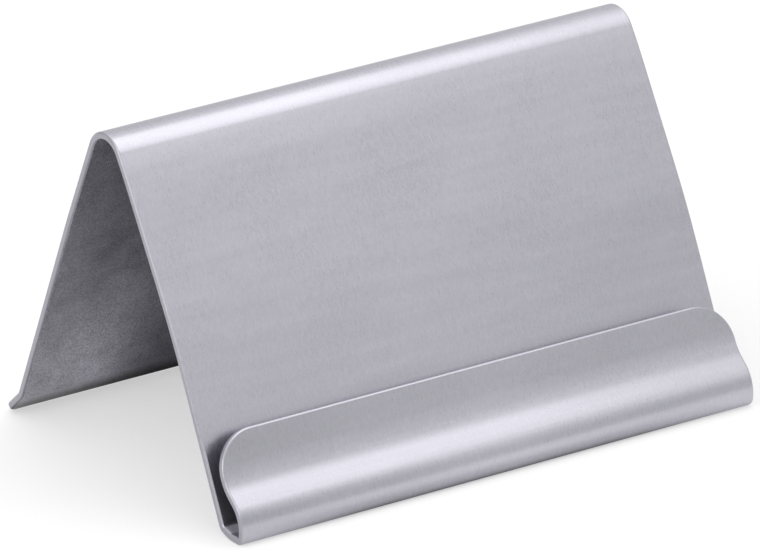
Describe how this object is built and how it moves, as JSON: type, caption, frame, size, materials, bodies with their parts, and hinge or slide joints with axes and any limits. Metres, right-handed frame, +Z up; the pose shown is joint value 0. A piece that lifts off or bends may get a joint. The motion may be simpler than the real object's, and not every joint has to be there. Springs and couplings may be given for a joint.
{
  "type": "place card holder",
  "caption": "Tent-shaped place card holder bent from one strip of satin steel, with a round ridge, a turned-out rear foot, and a front channel with a lip that holds a card against the panel.",
  "frame": {"origin": "Centre of the footprint, at the level of the table.", "axes": "+X runs along the ridge, to the right seen from the front. The front panel faces -Y. +Z is up."},
  "size_m": [0.06, 0.0408, 0.0346],
  "materials": {
    "satin_steel": "satin, fine grain along the strip"
  },
  "bodies": {
    "root": {"rear_foot": "satin_steel", "foot_bend": "satin_steel", "rear_leg": "satin_steel", "rear_bow": "satin_steel", "ridge_bend": "satin_steel", "panel_shoulder": "satin_steel", "panel_top": "satin_steel", "panel_bow": "satin_steel", "panel_bottom": "satin_steel", "channel_heel": "satin_steel", "channel_ramp": "satin_steel", "ramp_bend": "satin_steel", "channel_land": "satin_steel", "toe_bend": "satin_steel", "channel_nose": "satin_steel", "lip_slope": "satin_steel", "lip_bend": "satin_steel", "card_lip": "satin_steel"}
  },
  "joints": []
}
